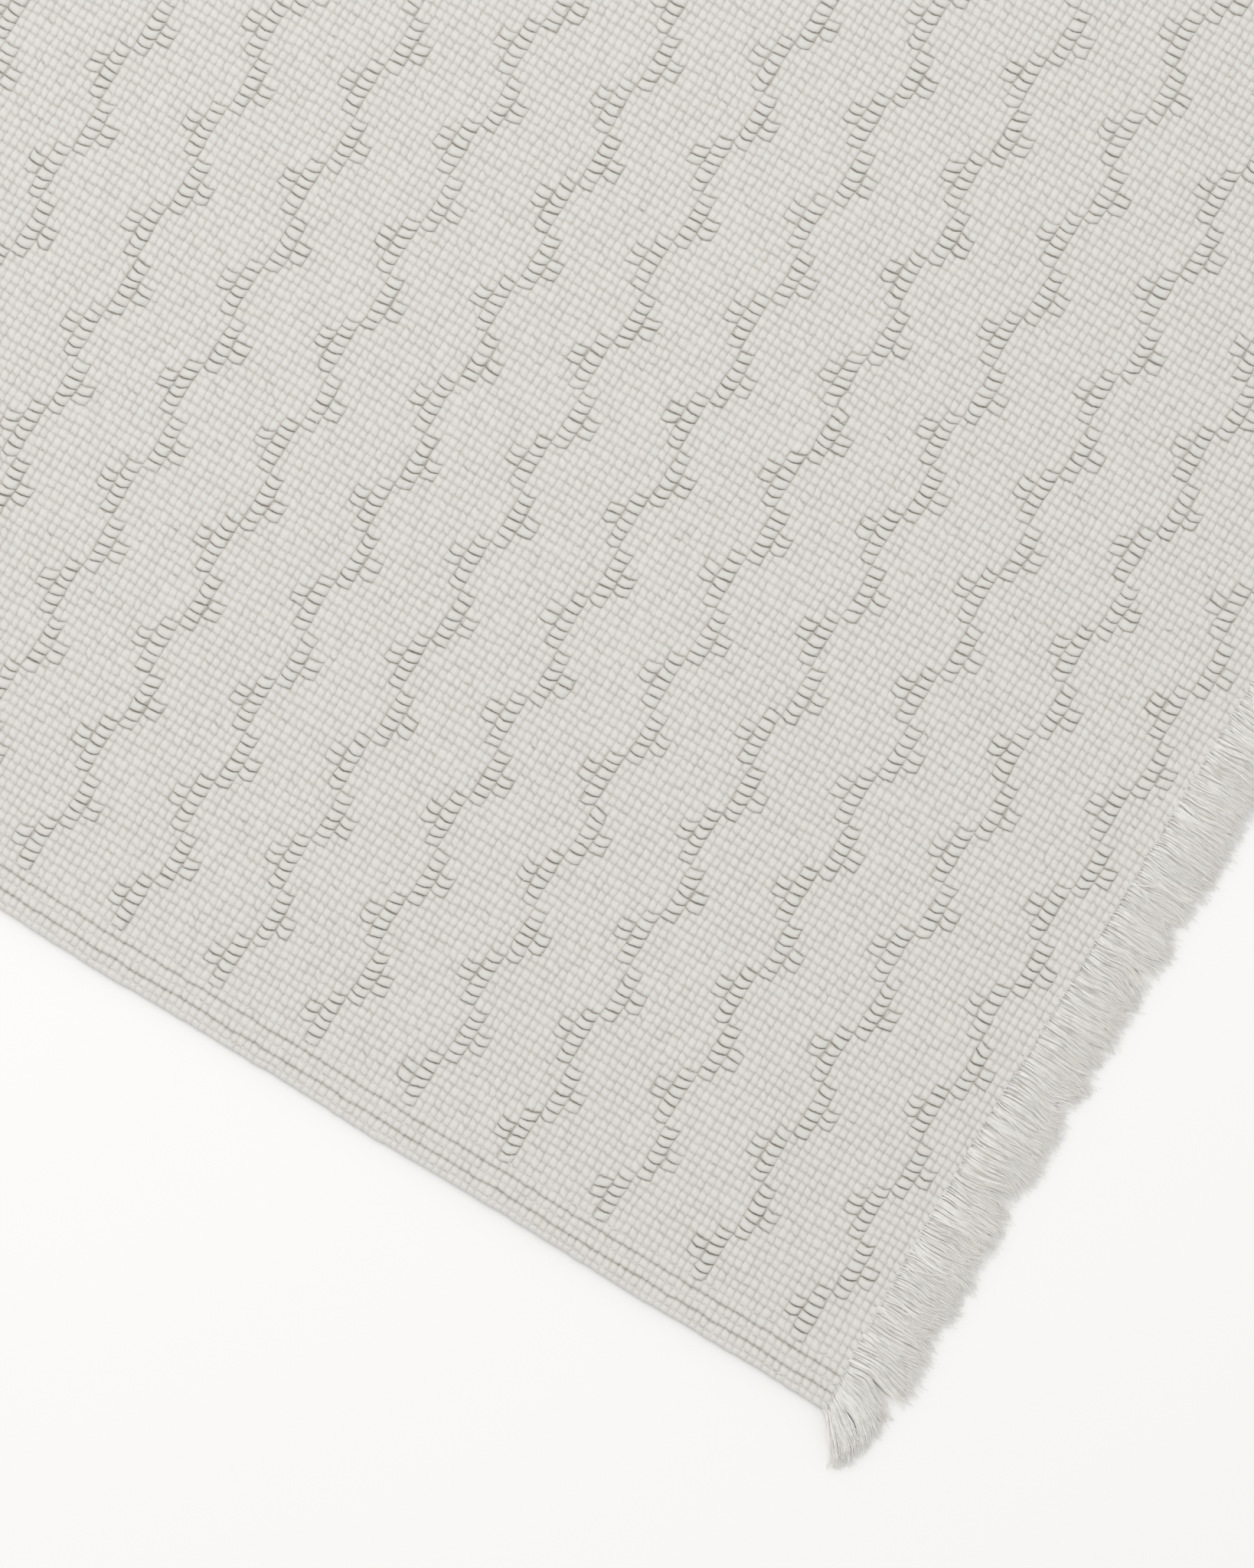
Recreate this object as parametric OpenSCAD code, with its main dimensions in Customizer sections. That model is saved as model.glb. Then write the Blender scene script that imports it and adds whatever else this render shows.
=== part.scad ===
// A flat-woven cotton bath mat, lying flat on the floor.
//
// Thick soft weft yarns run across the mat. Thin binder warps run along it, over and under the
// wefts, one group in each groove between two rows of knuckles. Both short ends carry a fringe,
// which is the loose ends of the warps behind a line of lock stitching, and each corner ends in a
// splayed tassel of the stronger selvedge warps. +X is the length, +Y the width, +Z up, and the
// origin is on the floor under the mat's middle.

/* [Weave] */
// Distance from one weft yarn to the next, along the mat
weft_pitch = 2.36; // [2.36:0.01:3]
// Number of weft yarns between the two fringes
weft_count = 334; // [60:2:420]
// Distance from one groove to the next, across the mat
row_pitch = 2.85; // [2.6:0.01:3.6]
// Number of rows of knuckles across the mat, both selvedges included
row_count = 178; // [40:2:240]
// Width of one weft yarn
weft_w = 2.3; // [1.6:0.01:2.35]
// Height of one weft yarn
weft_h = 3.3; // [2:0.1:5]
// Bevel that rounds the weft yarn's four long edges
weft_bevel = 0.7; // [0.2:0.05:0.9]

/* [Binder warps] */
// Width of the thread group in a groove of the field
binder_w = 0.9; // [0.4:0.05:1.4]
// Width of the thread group in a strong groove of the selvedge
selvedge_binder_w = 1.5; // [0.8:0.05:2]
// Thickness of a thread group
binder_t = 0.35; // [0.2:0.05:0.6]
// Rows of knuckles in each selvedge
selvedge_rows = 5; // [3:1:9]

/* [Wave pattern] */
// Wefts from one wave line to the next
wave_cols = 14; // [10:1:20]
// Rows in one whole wave
wave_rows = 12; // [6:6:18]
// Wefts that one float spans
float_cols = 2; // [2:1:3]
// Wefts between the last wave line's outer bump and the fringe
wave_margin = 2; // [0:1:4]
// How far the floats stand above the binders
wave_rise = 0.4; // [0.2:0.05:0.8]

/* [Fringe] */
// Length of the longest tuft
fringe_len = 19.5; // [10:0.5:40]
// How much shorter the shortest tuft is
fringe_uneven = 3; // [0:0.5:5]
// Width of one tuft
tuft_w = 2.1; // [1.2:0.1:2.2]
// Thickness of a tuft at its root
tuft_root_t = 1.6; // [0.8:0.1:2]
// Thickness of a tuft at its tip
tuft_tip_t = 1; // [0.5:0.1:1.4]

/* [Lock stitch] */
// Thickness of the stitching thread
stitch_d = 0.4; // [0.25:0.05:0.5]
// Distance from the last weft to the middle of the stitch line
stitch_offset = 0.5; // [0.4:0.05:1]

/* [Corner tassels] */
// Length of a tassel strand
strand_len = 19.5; // [10:0.5:40]
// How much shorter the shortest strand is
strand_uneven = 1.5; // [0:0.5:4]
// Strand diameter at the root
strand_root_d = 1.2; // [0.6:0.1:1.4]
// Strand diameter at the tip
strand_tip_d = 1.7; // [0.6:0.1:1.8]
// Outward turn of the outermost strand, in degrees
strand_splay = 40; // [10:5:45]

/* [Hidden] */
group_count = ceil(weft_count / wave_cols);
weft_groups = [for (g = [1 : group_count]) str("weft_group_", g < 10 ? "0" : "", g)];
sides = ["right", "left"];
corner_names = ["near_right", "far_right", "near_left", "far_left"];

cloth_len = weft_count * weft_pitch;
cloth_w = row_count * row_pitch;
weft_z = binder_t + weft_h / 2;
face_z = binder_t + weft_h;
cloth_t = face_z + binder_t;
turn_r = weft_pitch / 2;
weft_bar_len = cloth_w - 2 * turn_r - weft_w;
// Overlap that joins the two halves of a wave, and gap between the tassel's layers
hairline = 0.02;
bump_rows = wave_rows / 6;
round_fn = 32;

weft_cotton = [0.87, 0.86, 0.84];
float_cotton = [0.84, 0.83, 0.8];
binder_cotton = [0.8, 0.79, 0.76];
fringe_cotton = [0.9, 0.9, 0.88];

// Places along and across the mat
function weft_x(col) = cloth_len / 2 - (col + 0.5) * weft_pitch;
function col_edge_x(col) = cloth_len / 2 - col * weft_pitch;
function groove_y(i) = -cloth_w / 2 + i * row_pitch;
function row_y(row) = groove_y(row + 0.5);

// Selvedge grooves, counted in from the mat's edge: every other one holds a strong group
function is_strong(i) = i % 2 == 1;
last_binder = row_count - selvedge_rows - 1;

// Share of the full outward turn that the tassel strand of selvedge groove i has
function splay_share(i) = 1 - i / (selvedge_rows + 1);

// Unevenness of a natural fringe, from 0 to 1, different for each tuft and end
function wander(i, seed) = 0.5 + 0.25 * sin(i * 37 + seed * 91) + 0.25 * sin(i * 101 + seed * 53);

// One thick weft yarn's cross-section, in X and Z, about its middle
module weft_section() {
    x = weft_w / 2;
    z = weft_h / 2;
    b = weft_bevel;
    polygon([
        [-x, b - z], [b - x, -z], [x - b, -z], [x, b - z],
        [x, z - b], [x - b, z], [b - x, z], [-x, z - b]
    ]);
}

module weft_bar(col) {
    translate([weft_x(col), weft_bar_len / 2, weft_z])
        rotate([90, 0, 0])
            linear_extrude(weft_bar_len)
                weft_section();
}

// The yarn's turn at a selvedge, from one pass to the next
module weft_turn(col) {
    far = col % 2 == 0;
    translate([col_edge_x(col + 1), (far ? 1 : -1) * weft_bar_len / 2, weft_z])
        rotate(far ? 0 : 180)
            rotate_extrude(angle = 180, $fn = round_fn)
                translate([turn_r, 0])
                    weft_section();
}

// The wefts of one wave repeat: one yarn that goes back and forth across the mat
module weft_group(g) {
    first = g * wave_cols;
    last = min(first + wave_cols, weft_count) - 1;
    color(weft_cotton)
        union() {
            for (col = [first : last])
                weft_bar(col);
            for (col = [first : 1 : last - 1])
                weft_turn(col);
        }
}

// One group of threads along groove i, on the face or the back of the wefts
module thread_group(i, w, z) {
    translate([-cloth_len / 2, groove_y(i) - w / 2, z])
        cube([cloth_len, w, binder_t]);
}

module binder_warps(z) {
    color(binder_cotton)
        for (i = [selvedge_rows + 1 : last_binder])
            thread_group(i, binder_w, z);
}

module selvedge_warps(far) {
    color(binder_cotton)
        for (i = [1 : selvedge_rows], z = [0, face_z])
            thread_group(far ? row_count - i : i, is_strong(i) ? selvedge_binder_w : binder_w, z);
}

// A stack of floats as wide as float_cols wefts, its +X edge at weft col, up from groove row
module float_block(col, row, rows) {
    translate([col_edge_x(col + float_cols), groove_y(row)])
        square([float_cols * weft_pitch, rows * row_pitch]);
}

// Half a wave: a stack of floats, with a bump in its middle third on its -X (1) or +X (-1) side
module half_wave(col, row, bump) {
    rows = min(wave_rows / 2, row_count - selvedge_rows - row);
    float_block(col, row, rows);
    if (rows >= 2 * bump_rows)
        float_block(col + bump * float_cols, row + bump_rows, bump_rows);
}

// One raised zigzag line across the mat, whose outermost bump starts at weft col
module wave_line(col) {
    inner = col + float_cols;
    translate([0, 0, cloth_t])
        linear_extrude(wave_rise)
            for (row = [selvedge_rows : wave_rows : row_count - selvedge_rows - 1]) {
                half_wave(inner + float_cols - hairline, row, 1);
                if (row + wave_rows / 2 < row_count - selvedge_rows)
                    half_wave(inner, row + wave_rows / 2, -1);
            }
}

module wave_floats() {
    color(float_cotton)
        for (col = [wave_margin : wave_cols : weft_count - 4 * float_cols])
            wave_line(col);
}

// Stitching that holds the last weft: a top thread, a back thread and a leg between warp groups
module lock_stitch(side) {
    x = side * (cloth_len / 2 + stitch_offset);
    color(fringe_cotton)
        union() {
            for (z = [0, cloth_t - stitch_d])
                translate([x - stitch_d / 2, -cloth_w / 2, z])
                    cube([stitch_d, cloth_w, stitch_d]);
            for (row = [0 : row_count - 1])
                translate([x, row_y(row), stitch_d / 2])
                    cylinder(h = cloth_t - stitch_d, d = stitch_d, $fn = round_fn);
        }
}

// One tuft of loose warp ends, sloping from the cloth's middle down to the floor
module tuft(i, side) {
    reach = fringe_len - fringe_uneven * wander(i, side);
    root_z = cloth_t / 2;
    tip_low = 0.2;
    translate([side * cloth_len / 2, groove_y(i) + side * tuft_w / 2, 0])
        rotate([90, 0, side > 0 ? 0 : 180])
            linear_extrude(tuft_w)
                polygon([
                    [0, root_z - tuft_root_t / 2], [reach, tip_low],
                    [reach, tip_low + tuft_tip_t], [0, root_z + tuft_root_t / 2]
                ]);
}

module fringe(side) {
    color(fringe_cotton)
        for (i = [selvedge_rows + 1 : last_binder])
            tuft(i, side);
}

// Selvedge warp ends that splay past the corner, in two layers. side and edge are +1 or -1.
module corner_tassel(side, edge) {
    root_x = cloth_len / 2 + stitch_offset;
    root_inset = strand_root_d / 2;
    low_z = strand_tip_d / 2 + 0.1;
    color(fringe_cotton)
        mirror([side > 0 ? 0 : 1, 0, 0])
            mirror([0, edge > 0 ? 1 : 0, 0])
                for (i = [0 : selvedge_rows], layer = [0, 1])
                    translate([
                        root_x,
                        groove_y(i) + (i == 0 ? root_inset : 0),
                        low_z + layer * (strand_tip_d + hairline)
                    ])
                        rotate([0, 90, -strand_splay * splay_share(i)])
                            cylinder(
                                h = strand_len - strand_uneven * wander(i, layer + side + edge),
                                d1 = strand_root_d,
                                d2 = strand_tip_d,
                                $fn = round_fn
                            );
}

for (g = [0 : group_count - 1])
    weft_group(g);
binder_warps(face_z);  // binder_warps_face
binder_warps(0);  // binder_warps_back
wave_floats();
selvedge_warps(false);  // selvedge_warps_near
selvedge_warps(true);  // selvedge_warps_far
lock_stitch(1);  // lock_stitch_right
lock_stitch(-1);  // lock_stitch_left
fringe(1);  // fringe_right
fringe(-1);  // fringe_left
corner_tassel(1, -1);  // corner_tassel_near_right
corner_tassel(1, 1);  // corner_tassel_far_right
corner_tassel(-1, -1);  // corner_tassel_near_left
corner_tassel(-1, 1);  // corner_tassel_far_left
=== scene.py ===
"""A flat-woven cotton bath mat on a pale floor, seen from straight above its fringed corner.

Each thick weft yarn is one closed tube across the mat, puffed up between the grooves, and paired with
its neighbour where the two make a float. Thin warp threads lie in the grooves, and their loose ends are
the fringes and the corner tassels. Lengths are in millimetres, except where metres are named.
"""

import math

import bpy
import numpy as np
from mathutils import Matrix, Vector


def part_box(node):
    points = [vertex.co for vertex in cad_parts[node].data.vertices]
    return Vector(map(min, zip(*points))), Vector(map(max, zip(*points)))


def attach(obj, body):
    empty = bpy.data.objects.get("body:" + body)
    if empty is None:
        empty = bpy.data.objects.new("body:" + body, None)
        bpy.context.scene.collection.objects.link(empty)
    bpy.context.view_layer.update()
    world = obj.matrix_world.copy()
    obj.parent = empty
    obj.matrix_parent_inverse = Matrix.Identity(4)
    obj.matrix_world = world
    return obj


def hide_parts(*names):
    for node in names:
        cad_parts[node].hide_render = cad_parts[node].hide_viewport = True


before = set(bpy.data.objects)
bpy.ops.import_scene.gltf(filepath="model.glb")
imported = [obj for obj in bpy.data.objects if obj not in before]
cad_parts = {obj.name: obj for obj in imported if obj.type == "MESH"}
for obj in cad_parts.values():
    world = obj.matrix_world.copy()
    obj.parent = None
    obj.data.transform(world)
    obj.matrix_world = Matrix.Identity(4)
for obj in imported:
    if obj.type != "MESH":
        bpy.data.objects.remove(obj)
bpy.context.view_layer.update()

MM = 0.001
TINY = 1e-9
rng = np.random.default_rng(20)

# ---------------------------------------------------------------- the weave, from the frame
GROUPS = sorted(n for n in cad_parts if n.startswith("weft_group_"))
GROUP_WEFTS = 14
WEFTS = 334
ROWS = 178
BAND = 5
WAVE_ROWS = 12
WAVE_MARGIN = 2


def box_mm(node):
    low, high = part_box(node)
    return np.array(low) / MM, np.array(high) / MM


first_low, first_high = box_mm(GROUPS[0])
second_high = box_mm(GROUPS[1])[1]
PITCH = float((first_high[0] - second_high[0]) / GROUP_WEFTS)
CLOTH_L = WEFTS * PITCH
CLOTH_W = float(first_high[1] - first_low[1])
ROW = CLOTH_W / ROWS
FRINGE_L = float(box_mm("fringe_right")[1][0]) - CLOTH_L / 2

# ---------------------------------------------------------------- mesh helpers
# Points in each ring of a weft yarn: the top ones, then the lowest
RING_POINTS = 7
# A thread's yarn attribute: its side, its length times THREAD_ALONG and its place across times THREAD_APART
THREAD_ALONG = 0.15
THREAD_APART = 0.9
BLUR_REACH = 3


def sharpen(mesh, seam):
    """Makes sharp edges of those that join two seam points of neighbouring rings."""
    ends = np.empty(len(mesh.edges) * 2, np.int32)
    mesh.edges.foreach_get("vertices", ends)
    ends = ends.reshape(-1, 2)
    sharp = seam[ends].all(1) & (np.abs(ends[:, 0] - ends[:, 1]) == RING_POINTS)
    mesh.attributes.new("sharp_edge", "BOOLEAN", "EDGE").data.foreach_set("value", sharp)


def add_attribute(mesh, key, values):
    """One number or one vector for each point."""
    values = np.asarray(values, np.float32)
    kind, field = ("FLOAT_VECTOR", "vector") if values.ndim == 2 else ("FLOAT", "value")
    mesh.attributes.new(key, kind, "POINT").data.foreach_set(field, values.ravel())


def new_mesh(name, points, quads, tris, material, seam=None, **attributes):
    """A smooth-shaded piece. seam is True at each point of a line where two sides meet in a sharp edge."""
    mesh = bpy.data.meshes.new(name)
    quads = np.asarray(quads, np.int32).reshape(-1, 4)
    tris = np.asarray(tris, np.int32).reshape(-1, 3)
    corners = np.concatenate([quads.ravel(), tris.ravel()])
    starts = np.concatenate([np.arange(len(quads)) * 4, len(quads) * 4 + np.arange(len(tris)) * 3])
    mesh.vertices.add(len(points))
    mesh.vertices.foreach_set("co", (np.asarray(points, np.float32) * MM).ravel())
    mesh.loops.add(len(corners))
    mesh.loops.foreach_set("vertex_index", corners)
    mesh.polygons.add(len(starts))
    mesh.polygons.foreach_set("loop_start", starts.astype(np.int32))
    mesh.polygons.foreach_set("use_smooth", np.ones(len(starts), bool))
    mesh.update(calc_edges=True)
    if seam is not None:
        sharpen(mesh, seam)
    for key, values in attributes.items():
        add_attribute(mesh, key, values)
    mesh.materials.append(material)
    piece = bpy.data.objects.new(name, mesh)
    bpy.context.scene.collection.objects.link(piece)
    return piece


def strand_faces(strands, rings, sides):
    """Quads and end triangles of that many closed tubes, whose points are numbered strand, ring, side."""
    ring = np.arange(rings - 1)[:, None] * sides
    side = np.arange(sides)[None]
    near, far = ring + side, ring + (side + 1) % sides
    wall = np.stack([near, far, far + sides, near + sides], -1).reshape(-1, 4)
    fan = np.array([[0, k + 1, k] for k in range(1, sides - 1)])
    last = (rings - 1) * sides
    caps = np.concatenate([fan, fan[:, ::-1] + last])
    step = (np.arange(strands) * rings * sides)[:, None, None]
    return (wall[None] + step).reshape(-1, 4), (caps[None] + step).reshape(-1, 3)


def unit(vectors):
    return vectors / (np.linalg.norm(vectors, axis=2, keepdims=True) + TINY)


def tubes(name, paths, radius, material, sides=3, taper=1.0):
    """A piece made of round threads. paths is strand, ring, xyz. taper is each ring's share of radius."""
    strands, rings, _ = paths.shape
    along = unit(np.gradient(paths, axis=1))
    up = np.zeros_like(along)
    up[..., 2] = 1
    across = unit(np.cross(along, up))
    over = np.cross(across, along)
    size = np.broadcast_to(radius * taper, (strands, rings))
    turn = 2 * np.pi * (np.arange(sides) + 0.25) / sides
    ring = across[:, :, None] * np.cos(turn)[:, None] + over[:, :, None] * np.sin(turn)[:, None]
    points = paths[:, :, None] + ring * size[:, :, None, None]
    quads, tris = strand_faces(strands, rings, sides)
    steps = np.linalg.norm(np.diff(paths, axis=1, prepend=paths[:, :1]), axis=2)
    length = np.cumsum(steps, axis=1)[:, :, None]
    share = np.arange(sides)[None, None] / sides
    yarn = np.broadcast_arrays(share, THREAD_ALONG * length, paths[:, :1, 1:2] * THREAD_APART)
    yarn = np.stack(yarn, -1).reshape(-1, 3)
    return new_mesh(name, points.reshape(-1, 3), quads, tris, material, yarn=yarn)


def blur(field, axis, cells):
    """A field blurred along one axis over that many cells, and mirrored at its ends."""
    half = int(BLUR_REACH * cells)
    kernel = np.exp(-0.5 * (np.arange(-half, half + 1) / cells) ** 2)
    before = np.flip(field.take(range(half), axis), axis)
    after = np.flip(field.take(range(-half, 0), axis), axis)
    padded = np.concatenate([before, field, after], axis)
    return np.apply_along_axis(lambda line: np.convolve(line, kernel, "valid"), axis, padded)


def smooth_noise(shape, reach, scale):
    """Seeded noise on a grid, blurred over reach cells each way, with the given standard deviation."""
    field = rng.standard_normal(shape)
    for axis, cells in enumerate(reach):
        field = blur(field, axis, cells)
    return field / field.std() * scale


# ---------------------------------------------------------------- materials
CREST = (0.728, 0.709, 0.676, 1)
# The dark end of the weft colour: mostly painted shade in the grooves, the gaps and between the threads,
# with a little random tone and the floats' darker tone
GROOVE_SHADE_AND_TONE = (0.37, 0.35, 0.31, 1)
BINDER = (0.80, 0.785, 0.755, 1)
BINDER_DARK = (0.70, 0.68, 0.64, 1)
SELVEDGE = (0.84, 0.825, 0.795, 1)
SELVEDGE_DARK = (0.74, 0.72, 0.68, 1)
FRINGE = (0.97, 0.95, 0.915, 1)
# Painted shade between the fringe's strands
FRINGE_SHADE = (0.66, 0.635, 0.59, 1)
BUNDLE = (0.93, 0.91, 0.87, 1)
# The cloth core's colours are painted shade, dark as it is seen only deep in the grooves
CORE_SHADE = (0.55, 0.53, 0.49, 1)
CORE_SHADE_DARK = (0.45, 0.43, 0.39, 1)
FLOOR = (0.895, 0.885, 0.87, 1)

SOFT_COTTON = {
    "Roughness": 0.9,
    "Specular IOR Level": 0.2,
    "Sheen Weight": 0.12,
    "Sheen Roughness": 0.5,
}
FIBRE_NOISE = {"Scale": 0.9, "Detail": 3.0, "Roughness": 0.6}
WARP_NOISE = {"Scale": 0.55, "Detail": 2.0}
PLY_NOISE = {"Scale": 1.3, "Detail": 3.0, "Roughness": 0.6}
# How far the fine threads of a weft wander, in threads, and how much painted shade lies between two of them
THREAD_WANDER = 1.2
THREAD_SHADE = 0.07
KNUCKLE_TONE = 0.02

# A knuckle's bead: its roundness, random shift, warp, narrowness, gap and the painted shade in its gap. Then
# the height of its dome in the bump, and how far out the dome falls ever more steeply.
BEAD_ROUND = 2.3
BEAD_STRAY = 0.13
BEAD_WARP = 0.28
BEAD_WIDE = 0.94
BEAD_GAP = (0.55, 1.3)
BEAD_SHADE = 0.19
BEAD_HEIGHT = 3.0
BEAD_EDGE = 1.2
# A float's rounded roll: its gap, the painted shade in that gap, its flat middle share and its darker tone
FLOAT_GAP = (0.72, 1.15)
ROLL_SHADE = 0.36
FLOAT_FLAT = 0.62
FLOAT_TONE = 0.07

# Socket numbers of a colour Mix node
MIX_SHARE, MIX_LOW, MIX_HIGH = 0, 6, 7
MIX_RESULT = 2


def node_material(name):
    material = bpy.data.materials.new(name)
    material.use_nodes = True
    tree = material.node_tree
    return material, tree, tree.nodes["Principled BSDF"]


def set_inputs(node, values):
    for name, value in values.items():
        node.inputs[name].default_value = value


def add_node(tree, kind, **settings):
    """A new node, with its properties or inputs set by name."""
    made = tree.nodes.new(kind)
    for key, value in settings.items():
        if key in made.bl_rna.properties:
            setattr(made, key, value)
        else:
            made.inputs[key].default_value = value
    return made


def maths(tree, operation, first, second=None):
    made = tree.nodes.new("ShaderNodeMath")
    made.operation = operation
    for socket, value in zip(made.inputs, (first, second)):
        if isinstance(value, (int, float)):
            socket.default_value = value
        elif value is not None:
            tree.links.new(value, socket)
    return made.outputs[0]


def attribute(tree, name):
    return add_node(tree, "ShaderNodeAttribute", attribute_name=name).outputs


def noise(tree, vector, settings):
    made = add_node(tree, "ShaderNodeTexNoise", **settings)
    tree.links.new(vector, made.inputs["Vector"])
    return made.outputs


def parts(tree, kind, value):
    """The three parts of a vector or a colour."""
    made = add_node(tree, kind)
    tree.links.new(value, made.inputs[0])
    return made.outputs


def colour_mix(tree, share, low, high):
    """The colour low where share is 0 or less, and high where it is 1 or more."""
    made = add_node(tree, "ShaderNodeMix", data_type="RGBA")
    made.inputs[MIX_LOW].default_value = low
    made.inputs[MIX_HIGH].default_value = high
    tree.links.new(share, made.inputs[MIX_SHARE])
    return made.outputs[MIX_RESULT]


def smooth_step(tree, value, limits):
    made = add_node(tree, "ShaderNodeMapRange", interpolation_type="SMOOTHSTEP")
    made.inputs["From Min"].default_value = limits[0]
    made.inputs["From Max"].default_value = limits[1]
    tree.links.new(value, made.inputs["Value"])
    return made.outputs["Result"]


def centred(tree, value, size):
    """A 0 to 1 value turned into one from -size to size."""
    return maths(tree, "MULTIPLY", maths(tree, "SUBTRACT", value, 0.5), 2 * size)


def add_bump(tree, shader, height, strength, distance_m):
    bump = add_node(tree, "ShaderNodeBump", Strength=strength, Distance=distance_m)
    tree.links.new(height, bump.inputs["Height"])
    tree.links.new(bump.outputs["Normal"], shader.inputs["Normal"])


def thread_ridges(tree, yarn, fibres):
    """The fine threads side by side along a weft: 1 on a thread and -1 between two."""
    across = parts(tree, "ShaderNodeSeparateXYZ", yarn)[0]
    wandering = maths(tree, "ADD", across, centred(tree, fibres, THREAD_WANDER))
    return maths(tree, "SINE", maths(tree, "MULTIPLY", wandering, 2 * math.pi))


def cell_chances(tree, column, row):
    """Three random values from 0 to 1 for each knuckle or float."""
    key = add_node(tree, "ShaderNodeCombineXYZ")
    tree.links.new(maths(tree, "ROUND", column), key.inputs[0])
    tree.links.new(row, key.inputs[1])
    chance = add_node(tree, "ShaderNodeTexWhiteNoise", noise_dimensions="3D")
    tree.links.new(key.outputs[0], chance.inputs["Vector"])
    return parts(tree, "ShaderNodeSeparateColor", chance.outputs["Color"])


def from_middle(tree, local, chances, warps):
    """Distances from a knuckle's shifted and warped middle, 1 being at its sides and at its ends."""
    away = []
    for value, chance, warp in zip(local, chances, warps):
        moved = maths(tree, "ADD", value, centred(tree, chance, BEAD_STRAY))
        moved = maths(tree, "ADD", moved, centred(tree, warp, BEAD_WARP))
        away.append(maths(tree, "ABSOLUTE", maths(tree, "MULTIPLY", moved, 2.0)))
    return away


def bead_edge(tree, away):
    """How near a place is to the edge of its knuckle's rounded bead, which is at 1."""
    wide = maths(tree, "POWER", maths(tree, "MULTIPLY", away[0], BEAD_WIDE), BEAD_ROUND)
    long = maths(tree, "POWER", away[1], BEAD_ROUND)
    return maths(tree, "POWER", maths(tree, "ADD", wide, long), 1 / BEAD_ROUND)


def roll_edge(tree, away):
    """How near a place is to the edge of its float, a roll with round ends, which is at 1."""
    end = maths(tree, "MAXIMUM", maths(tree, "SUBTRACT", away[0], FLOAT_FLAT), 0.0)
    end = maths(tree, "DIVIDE", end, 1 - FLOAT_FLAT)
    squares = [maths(tree, "MULTIPLY", value, value) for value in (end, away[1])]
    return maths(tree, "SQRT", maths(tree, "ADD", *squares))


def gap_shade(tree, bead, roll, warp, plain, floated):
    """The painted shade in the gaps, round the beads of plain knuckles and round the floats."""
    bead_shade = maths(tree, "MULTIPLY", smooth_step(tree, bead, BEAD_GAP), BEAD_SHADE)
    roll_shade = maths(tree, "MULTIPLY", smooth_step(tree, roll, FLOAT_GAP), ROLL_SHADE)
    roll_shade = maths(tree, "MULTIPLY", roll_shade, maths(tree, "ADD", warp, 0.5))
    bead_shade = maths(tree, "MULTIPLY", bead_shade, plain)
    roll_shade = maths(tree, "MULTIPLY", roll_shade, floated)
    return maths(tree, "ADD", bead_shade, roll_shade)


def weft_height(tree, ridges, fibres, bead, plain):
    """Fine threads on a rounded bead."""
    dome = maths(tree, "MULTIPLY", maths(tree, "MINIMUM", bead, BEAD_EDGE), bead)
    dome = maths(tree, "MULTIPLY", dome, plain)
    height = maths(tree, "ADD", maths(tree, "MULTIPLY", ridges, 0.5), fibres)
    return maths(tree, "SUBTRACT", height, maths(tree, "MULTIPLY", dome, BEAD_HEIGHT))


def weft_cotton():
    """Multi-strand yarn: fine threads side by side along it, with painted shade between them, in the grooves
    and round each rounded knuckle.

    The cell attribute is the place across a knuckle or float, the place in rows, and the column's number.
    """
    material, tree, shader = node_material("weft_cotton")
    set_inputs(shader, SOFT_COTTON)
    yarn = attribute(tree, "yarn")["Vector"]
    groove_shade = attribute(tree, "groove_shade")["Fac"]
    floated = attribute(tree, "floated")["Fac"]
    plain = maths(tree, "SUBTRACT", 1.0, floated)
    cell = parts(tree, "ShaderNodeSeparateXYZ", attribute(tree, "cell")["Vector"])
    fibres = noise(tree, yarn, FIBRE_NOISE)["Fac"]
    warps = parts(tree, "ShaderNodeSeparateColor", noise(tree, yarn, WARP_NOISE)["Color"])
    ridges = thread_ridges(tree, yarn, fibres)

    row = maths(tree, "FLOOR", cell[1])
    chances = cell_chances(tree, cell[2], row)
    in_row = maths(tree, "SUBTRACT", maths(tree, "SUBTRACT", cell[1], row), 0.5)
    away = from_middle(tree, (cell[0], in_row), chances, warps)
    bead = bead_edge(tree, away)
    roll = roll_edge(tree, away)
    gaps = gap_shade(tree, bead, roll, warps[2], plain, floated)
    add_bump(tree, shader, weft_height(tree, ridges, fibres, bead, plain), 0.35, 0.00010)

    # Painted shade between the fine threads
    between = maths(tree, "SUBTRACT", 0.5, maths(tree, "MULTIPLY", ridges, 0.5))
    between = maths(tree, "MULTIPLY", between, THREAD_SHADE)
    # The share of painted shade, in the grooves, in the gaps and between the threads, then random tone and
    # the floats' darker tone
    share = maths(tree, "ADD", maths(tree, "ADD", groove_shade, gaps), between)
    share = maths(tree, "ADD", share, centred(tree, chances[2], KNUCKLE_TONE))
    share = maths(tree, "ADD", share, maths(tree, "MULTIPLY", floated, FLOAT_TONE))
    tree.links.new(colour_mix(tree, share, CREST, GROOVE_SHADE_AND_TONE), shader.inputs["Base Color"])
    return material


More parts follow.
